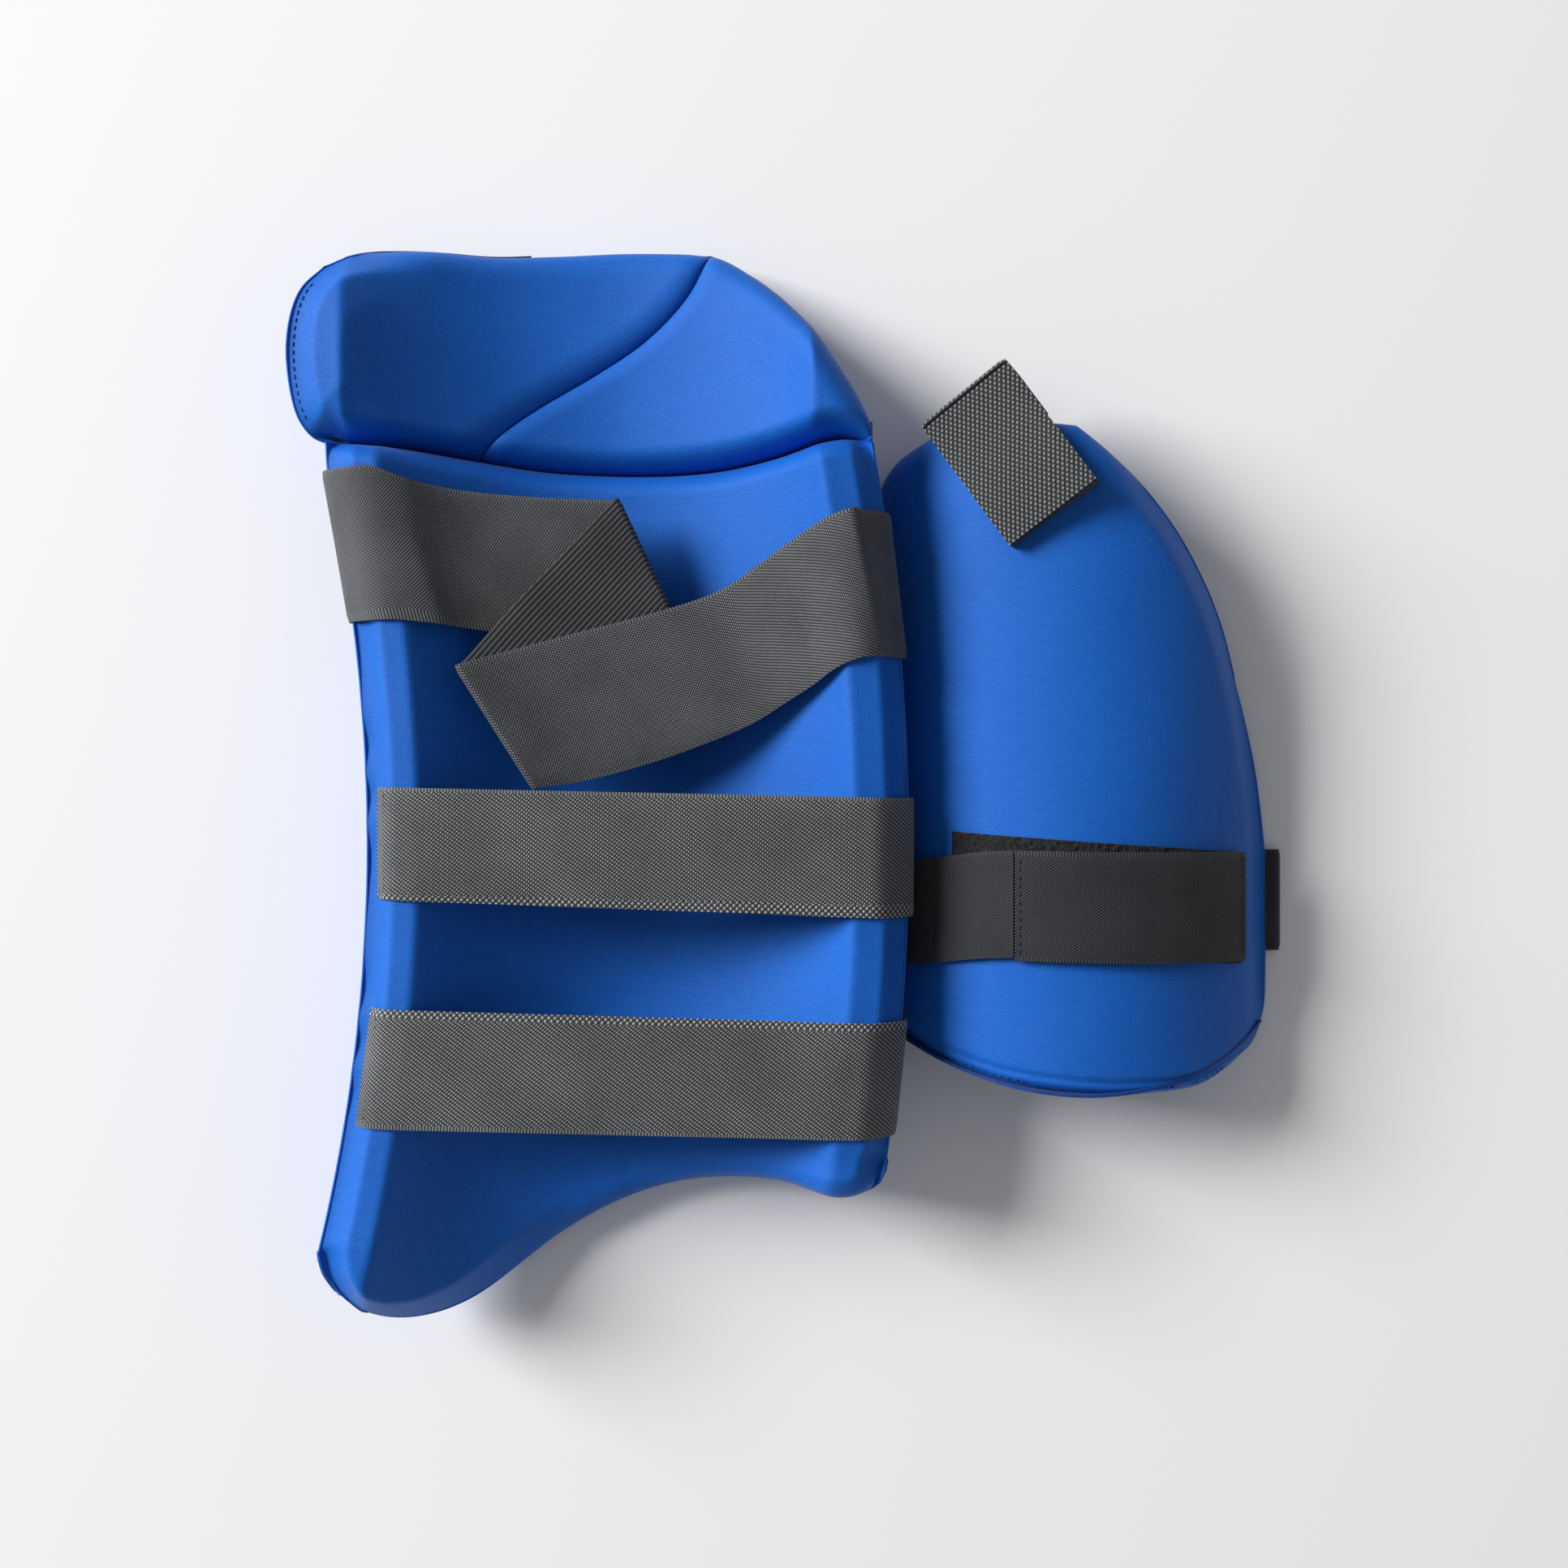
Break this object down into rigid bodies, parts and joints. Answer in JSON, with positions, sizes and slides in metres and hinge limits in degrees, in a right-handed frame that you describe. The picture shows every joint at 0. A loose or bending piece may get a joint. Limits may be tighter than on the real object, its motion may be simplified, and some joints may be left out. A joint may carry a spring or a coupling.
{
  "type": "thigh guard set",
  "caption": "Padded outer thigh guard with a folding hip flap and elastic straps, and a smaller arched inner thigh guard with its own strap and belt loop",
  "frame": {"origin": "on the outer guard's flat base, on the centreline of its trough", "axes": "+X from the outer guard to the inner guard, +Y up the leg to the hip flap, +Z away from the surface both guards lie on"},
  "size_m": [0.4262, 0.4645, 0.0688],
  "materials": {
    "blue_fabric": "royal blue stretch knit with a faint weave",
    "dense_foam": "dark moulded closed-cell foam",
    "soft_foam": "pale open-cell foam",
    "black_elastic": "charcoal woven elastic",
    "hook_tape": "black hook tape",
    "loop_tape": "black fuzzy loop tape",
    "webbing": "coarse charcoal webbing",
    "dark_binding": "dark slate binding"
  },
  "bodies": {
    "outer_guard": {"thigh_shell_foam": "dense_foam", "thigh_liner_foam": "soft_foam", "thigh_outer_cover": "blue_fabric", "thigh_inner_cover": "blue_fabric", "hinge_seam_welt": "blue_fabric", "waist_belt": "black_elastic", "waist_belt_loop_patch": "loop_tape", "mid_strap": "black_elastic", "mid_strap_loop_patch": "loop_tape", "lower_strap": "black_elastic", "lower_strap_loop_patch": "loop_tape"},
    "hip_flap": {"hip_shell_foam": "dense_foam", "hip_front_foam": "soft_foam", "hip_side_foam": "soft_foam", "hip_outer_cover": "blue_fabric", "hip_front_cover": "blue_fabric", "hip_side_cover": "blue_fabric", "hip_top_binding": "dark_binding"},
    "waist_belt_end": {"waist_belt_tab": "black_elastic", "waist_belt_hook_patch": "hook_tape"},
    "mid_strap_end": {"mid_strap_tab": "black_elastic", "mid_strap_hook_patch": "hook_tape"},
    "lower_strap_end": {"lower_strap_tab": "black_elastic", "lower_strap_hook_patch": "hook_tape"},
    "inner_guard": {"inner_shell_foam": "dense_foam", "inner_liner_foam": "soft_foam", "inner_outer_cover": "blue_fabric", "inner_lining_cover": "blue_fabric", "inner_edge_gusset": "blue_fabric", "inner_strap": "black_elastic", "inner_strap_loop_strip": "loop_tape", "belt_loop_webbing": "webbing", "belt_loop_patch": "loop_tape"},
    "inner_strap_end": {"inner_strap_tab": "black_elastic", "inner_strap_hook_patch": "hook_tape"},
    "belt_loop_end": {"belt_loop_tab": "webbing", "belt_loop_hook_patch": "hook_tape"}
  },
  "joints": [
    {"name": "hip_flap_fold", "type": "hinge", "parent": "outer_guard", "child": "hip_flap", "pos_m": [-0.01677, 0.141, 0], "axis": [-1, 0, 0], "range_deg": [0, 40]},
    {"name": "waist_belt_peel", "type": "hinge", "parent": "outer_guard", "child": "waist_belt_end", "pos_m": [0.08753, 0.08078, 0.02157], "axis": [0.1145, -0.9934, 0], "range_deg": [0, 60]},
    {"name": "mid_strap_peel", "type": "hinge", "parent": "outer_guard", "child": "mid_strap_end", "pos_m": [0.09356, -0.03111, 0.02157], "axis": [-0.0042, -1, 0], "range_deg": [0, 60]},
    {"name": "lower_strap_peel", "type": "hinge", "parent": "outer_guard", "child": "lower_strap_end", "pos_m": [0.08817, -0.12211, 0.02157], "axis": [-0.1139, -0.9935, 0], "range_deg": [0, 60]},
    {"name": "inner_guard_pull", "type": "slide", "parent": "outer_guard", "child": "inner_guard", "axis": [1, 0, 0], "range_m": [0, 0.2]},
    {"name": "inner_strap_peel", "type": "hinge", "parent": "inner_guard", "child": "inner_strap_end", "pos_m": [0.15642, -0.051, 0.05503], "axis": [0, -1, 0], "range_deg": [0, 120]},
    {"name": "belt_loop_open", "type": "hinge", "parent": "inner_guard", "child": "belt_loop_end", "pos_m": [0.13608, 0.16156, 0.05195], "axis": [-0.7687, -0.5877, -0.2524], "range_deg": [0, 120]}
  ]
}
